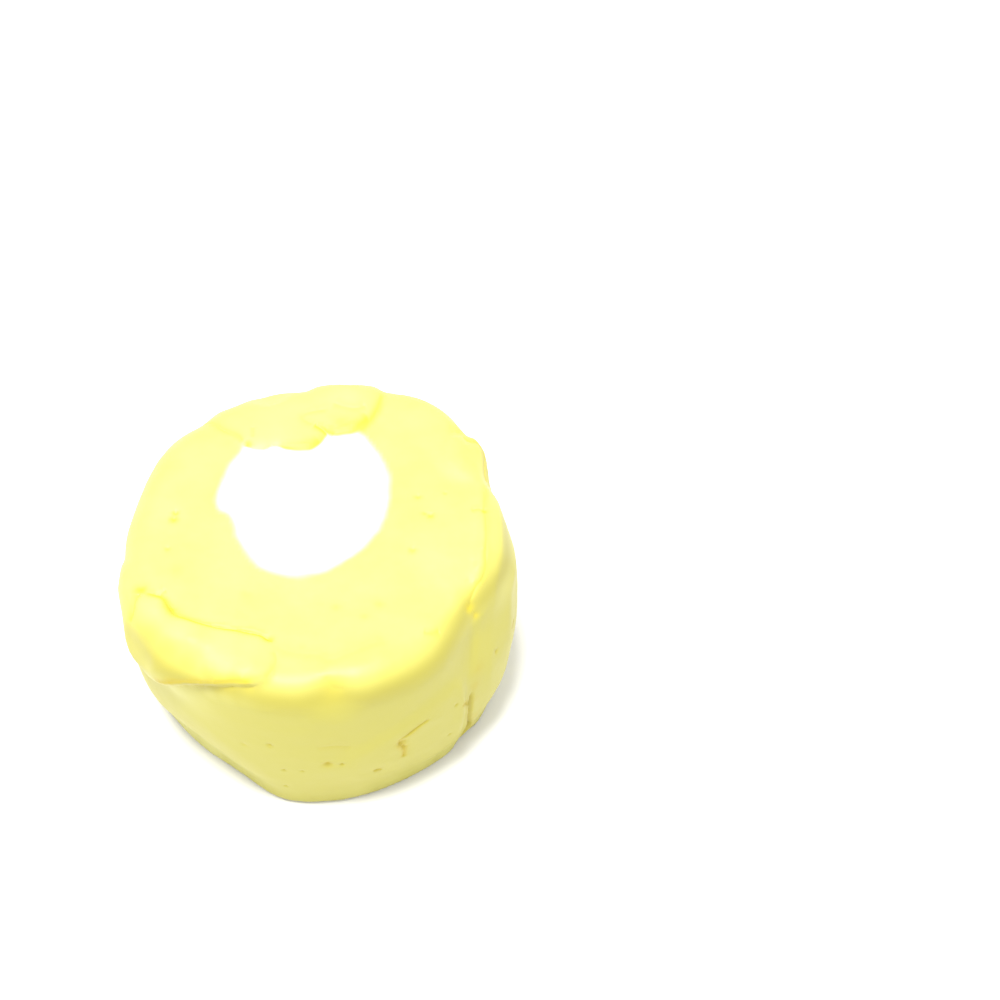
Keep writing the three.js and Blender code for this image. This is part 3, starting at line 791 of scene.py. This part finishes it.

# places painted paler: thin stretched taffy on the folds, and painted light under the lip, at the side
# edges and along the foot of the wall: place, radius and how much
paleAndLitPlaces = [
    (-10.6, -6.9, 15.8, 1.2, 0.8), (-8.6, -8.6, 16, 1.3, 0.8), (-6, -9.3, 15.9, 1.3, 0.8),
    (-4, -9.6, 15.7, 1.1, 0.6), (1.9, 11, 16.2, 1.4, 0.8), (-2.5, 10, 16, 3, 0.6),
    (-13.3, -2, 14.8, 2, 0.5), (-13.4, -4.5, 14.4, 1.5, 0.5), (12.8, 3, 14.2, 1.7, 0.8),
    (13.1, 0, 14, 1.9, 0.8), (12.9, -3, 13.6, 1.6, 0.6), (-9.5, -11.3, 11.8, 2.2, 0.7),
    (6, 13, 12, 3, 0.5), (-9, 9.5, 12, 3, 0.5), (3.2, -13.2, 0.7, 1.3, 0.5),
    (5.6, -12.4, 0.7, 1.4, 0.6), (7.8, -11, 0.7, 1.4, 0.6), (9.4, -9.4, 0.7, 1.2, 0.6),
    (-8.6, -12.1, 13.4, 0.9, 0.9), (-7.2, -12.5, 13.9, 0.9, 1), (-5.8, -12.9, 14.3, 0.9, 1),
    (-4.4, -13, 14.5, 0.9, 0.8), (-9.7, -7.3, 0.8, 2, 0.9), (-7.9, -9.1, 0.8, 1.8, 0.9),
    (-6, -10.6, 0.7, 1.4, 0.6),
]

# and places painted darker as painted shade, added to the rim's band
deepShadePlaces = [
    (-11.2, -8.9, 15, 1.5, 0.55), (-9.8, -10.1, 15.1, 1.4, 0.6), (-8.4, -11.1, 15.3, 1.2, 0.65),
    (-6.7, -11.9, 15.5, 1.0, 0.8), (-5, -12.2, 15.7, 0.8, 0.7), (-3.8, -12.3, 15.6, 0.6, 0.5),
    (-7.9, -10.9, 15.6, 1.9, 0.3), (1.6, -12.6, 15, 1, 0.4),
    (11, -5.8, 14.2, 0.8, 0.5), (2.6, 9, 15.9, 0.7, 0.3),
]


def paint(piece):
    points = pointsOf(piece)
    waver, waverSize = blend["waver"], blend["waverSize"]
    fineShare, fineTimes = blend["fineShare"], blend["fineTimes"]
    line = lineThrough("outline", coreLine(1, "shown"), True, core["curveSteps"])
    outline = pointsOf(line)[:, :2].copy()
    bpy.data.objects.remove(line)
    up = np.clip(points[:, 2] / disc["height"], 0, 1)
    drift = np.outer(1 - up, np.array(core["lean"]))
    gap = signedDistance(points[:, :2] - drift, outline)
    near = np.nonzero(np.abs(gap) < blend["waverReach"])[0]
    gap[near] += [waver * noise.noise(Vector(points[i]) / waverSize)
                  + fineShare * waver * noise.noise(Vector(points[i]) * fineTimes / waverSize)
                  for i in near]
    white = soften(-blend["softness"], blend["softness"], -gap)
    cover = np.min([signedDistance(points[:, :2], foldEdges[name][:, :2]) for name in flap], axis=0)
    above = points[:, 2] > disc["height"] - blend["flapDepth"]
    bare = soften(-blend["flapSoftness"], blend["flapSoftness"], cover + blend["flapShrink"])
    white = np.where(above, white * bare, white)
    # the painted shade of creases and pits, and the few colour spots, carried over from the blank
    shadeAndSpotsHere = np.array([shadeAndSpots[shadeAndSpotsTree.find(point)[1]] for point in points])
    across = np.linalg.norm(points[:, :2], axis=1)
    # a band of painted shade just under the rim, at the front
    rim = np.exp(-((points[:, 2] - disc["height"] + blend["rimDown"]) / blend["rimWidth"]) ** 2)
    rim *= soften(*blend["rimRadii"], across)
    rim *= soften(*blend["rimFront"], points[:, 0] * blend["rimLean"] - points[:, 1])
    # points that face up are painted lighter than the wall: painted light
    face = soften(*blend["faceTurn"], outwardAt(points)[:, 2])
    # paler places: thin taffy, and painted light
    paleAndLit = np.zeros(len(points))
    for x, y, z, radius, much in paleAndLitPlaces:
        paleAndLit = np.maximum(paleAndLit, much * np.exp(-((points - (x, y, z)) ** 2).sum(axis=1) / radius ** 2))
    # the darker places join that band of painted shade
    for x, y, z, radius, much in deepShadePlaces:
        rim = np.maximum(rim, much * np.exp(-((points - (x, y, z)) ** 2).sum(axis=1) / radius ** 2))
    for name, values in (("whiteness", white), ("shadeAndSpots", shadeAndSpotsHere), ("rim", rim), ("face", face),
                         ("paleAndLit", paleAndLit)):
        piece.data.attributes.new(name, "FLOAT", "POINT").data.foreach_set("value", values)


print("painting the taffy's points")
for piece in (body, filling):
    paint(piece)


# materials
taffy = {
    "mottle": (0.35, 0.65),  # the part of the noise that runs from one face colour to the other
    "mottleDetail": 3,
    "grainDetail": 4,
    "grain": 0.2,
    "grainDepth": 0.00006,
    "roughness": 0.5,
    "ior": 1.45,
    "smoothAngle": 50,
}
# colours: the wall and the lighter face colours are shaded and lit copies of one yellow, as painted light;
# the rim colour is painted shade; the two darker colours paint shade into creases and pits, and a few
# colour spots; the pale colour is thinner taffy and painted light
skinValues = {
    "wall": (0.39, 0.357, 0.054),
    "paleAndLit": (0.5, 0.475, 0.135),
    "face": (0.48, 0.447, 0.093),
    "facePale": (0.495, 0.466, 0.113),
    "shadeAndSpotsWall": (0.39, 0.305, 0.004),
    "shadeAndSpotsFace": (0.45, 0.38, 0.026),
    "rim": (0.3, 0.265, 0.034),
    "white": (0.56, 0.555, 0.54),
    "rimShare": 0.8,
    "mottleScale": 260,
    "grainScale": 1400,
}


def attributeNode(nodes, name):
    made = nodes.new("ShaderNodeAttribute")
    made.attribute_name = name
    return made.outputs["Fac"]


def colourMix(nodes, links, factor, first, second):
    mix = nodes.new("ShaderNodeMix")
    mix.data_type = "RGBA"
    for end, source in (("Factor", factor), ("A", first), ("B", second)):
        links.new(source, mix.inputs[end])
    return mix.outputs["Result"]


def noiseNode(nodes, links, place, scale, detail):
    made = nodes.new("ShaderNodeTexNoise")
    made.inputs["Detail"].default_value = detail
    links.new(scale, made.inputs["Scale"])
    links.new(place, made.inputs["Vector"])
    return made.outputs["Fac"]


def skinGroup():
    # the skin that both taffies share: its colour, and the height of its fine grain
    group = bpy.data.node_groups.new("taffySkin", "ShaderNodeTree")
    for name, value in skinValues.items():
        kind = "NodeSocketColor" if isinstance(value, tuple) else "NodeSocketFloat"
        group.interface.new_socket(name, in_out="INPUT", socket_type=kind)
    group.interface.new_socket("colour", in_out="OUTPUT", socket_type="NodeSocketColor")
    group.interface.new_socket("grain", in_out="OUTPUT", socket_type="NodeSocketFloat")
    nodes, links = group.nodes, group.links
    given = nodes.new("NodeGroupInput").outputs
    made = nodes.new("NodeGroupOutput").inputs
    place = nodes.new("ShaderNodeTexCoord").outputs["Object"]
    painted = {name: attributeNode(nodes, name) for name in ("face", "paleAndLit", "rim", "shadeAndSpots", "whiteness")}
    mottle = nodes.new("ShaderNodeMapRange")
    mottle.inputs["From Min"].default_value, mottle.inputs["From Max"].default_value = taffy["mottle"]
    clouds = noiseNode(nodes, links, place, given["mottleScale"], taffy["mottleDetail"])
    links.new(clouds, mottle.inputs["Value"])
    rim = nodes.new("ShaderNodeMath")
    rim.operation = "MULTIPLY"
    links.new(painted["rim"], rim.inputs[0])
    links.new(given["rimShare"], rim.inputs[1])
    # the upward face lighter than the wall, then the paler places, then the rim's band: painted light and
    # painted shade
    colour = colourMix(nodes, links, mottle.outputs["Result"], given["face"], given["facePale"])
    colour = colourMix(nodes, links, painted["face"], given["wall"], colour)
    colour = colourMix(nodes, links, painted["paleAndLit"], colour, given["paleAndLit"])
    colour = colourMix(nodes, links, rim.outputs["Value"], colour, given["rim"])
    # the crease and pit colour, lighter on the upward face: painted shade, with a few colour spots
    deeper = colourMix(nodes, links, painted["face"], given["shadeAndSpotsWall"], given["shadeAndSpotsFace"])
    colour = colourMix(nodes, links, painted["shadeAndSpots"], colour, deeper)
    colour = colourMix(nodes, links, painted["whiteness"], colour, given["white"])
    links.new(colour, made["colour"])
    grain = noiseNode(nodes, links, place, given["grainScale"], taffy["grainDetail"])
    links.new(grain, made["grain"])
    return group


def taffyMaterial(name, group):
    material = bpy.data.materials.new(name)
    material.use_nodes = True
    nodes, links = material.node_tree.nodes, material.node_tree.links
    shader = nodes["Principled BSDF"]
    placed = nodes.new("ShaderNodeGroup")
    placed.node_tree = group
    for key, value in skinValues.items():
        placed.inputs[key].default_value = (*value, 1) if isinstance(value, tuple) else value
    links.new(placed.outputs["colour"], shader.inputs["Base Color"])
    shader.inputs["Roughness"].default_value = taffy["roughness"]
    shader.inputs["IOR"].default_value = taffy["ior"]
    bump = nodes.new("ShaderNodeBump")
    bump.inputs["Strength"].default_value = taffy["grain"]
    bump.inputs["Distance"].default_value = taffy["grainDepth"]
    links.new(placed.outputs["grain"], bump.inputs["Height"])
    links.new(bump.outputs["Normal"], shader.inputs["Normal"])
    return material


print("materials")
taffySkin = skinGroup()
for piece, name, node, slotName in ((body, "yellowTaffy", "taffy_body", "yellow_taffy"),
                                    (filling, "whiteTaffy", "taffy_core", "white_taffy")):
    pickOnly(piece)
    bpy.ops.transform.resize(value=(millimetre,) * 3, center_override=(0, 0, 0))
    bpy.ops.object.transform_apply(location=True, rotation=True, scale=True)
    bpy.ops.object.shade_smooth_by_angle(angle=math.radians(taffy["smoothAngle"]))
    piece.data.materials.clear()
    piece.data.materials.append(taffyMaterial(name, taffySkin))
    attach(piece, "root")
    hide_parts(node)
    piece.data.calc_loop_triangles()
    print(piece.name, len(piece.data.loop_triangles), "triangles")


# the white table, the light and the camera
print("table, light and camera")
tableTop = {"size": 3, "white": 0.76, "roughness": 0.6, "glow": 0.05}
light = {"world": 1.2, "size": 0.2, "place": (-0.066, -0.05, 0.5), "power": 4.6}
view = {"tilt": 54, "aim": (0.01284, -0.000245, 0.00775), "rise": 0.00682, "distance": 0.238, "lens": 120}

bpy.ops.mesh.primitive_plane_add(size=tableTop["size"], location=(0, 0, 0))
table = bpy.context.object
table.name = "whiteTable"
tableWhite = bpy.data.materials.new("tableWhite")
tableWhite.use_nodes = True
tableShader = tableWhite.node_tree.nodes["Principled BSDF"]
tableShader.inputs["Base Color"].default_value = (*(tableTop["white"],) * 3, 1)
tableShader.inputs["Roughness"].default_value = tableTop["roughness"]
tableShader.inputs["Emission Color"].default_value = (1, 1, 1, 1)
tableShader.inputs["Emission Strength"].default_value = tableTop["glow"]
table.data.materials.append(tableWhite)

world = bpy.data.worlds.new("brightRoom")
bpy.context.scene.world = world
world.use_nodes = True
world.node_tree.nodes["Background"].inputs["Color"].default_value = (1, 1, 1, 1)
world.node_tree.nodes["Background"].inputs["Strength"].default_value = light["world"]

bpy.ops.object.light_add(type="AREA", location=light["place"])
lamp = bpy.context.object
lamp.name = "softbox"
lamp.data.shape = "DISK"
lamp.data.size = light["size"]
lamp.data.energy = light["power"]
lamp.rotation_euler = Vector(light["place"]).to_track_quat("Z", "Y").to_euler()

tilt = math.radians(view["tilt"])
forward = Vector((0, math.cos(tilt), -math.sin(tilt)))
upward = Vector((0, math.sin(tilt), math.cos(tilt)))
aim = Vector(view["aim"]) + upward * view["rise"]
bpy.ops.object.camera_add(location=aim - forward * view["distance"])
camera = bpy.context.object
camera.rotation_euler = forward.to_track_quat("-Z", "Y").to_euler()
camera.data.lens = view["lens"]
camera.data.sensor_width = 36
camera.data.clip_start = 0.01
bpy.context.scene.camera = camera
bpy.context.scene.view_settings.view_transform = "Standard"
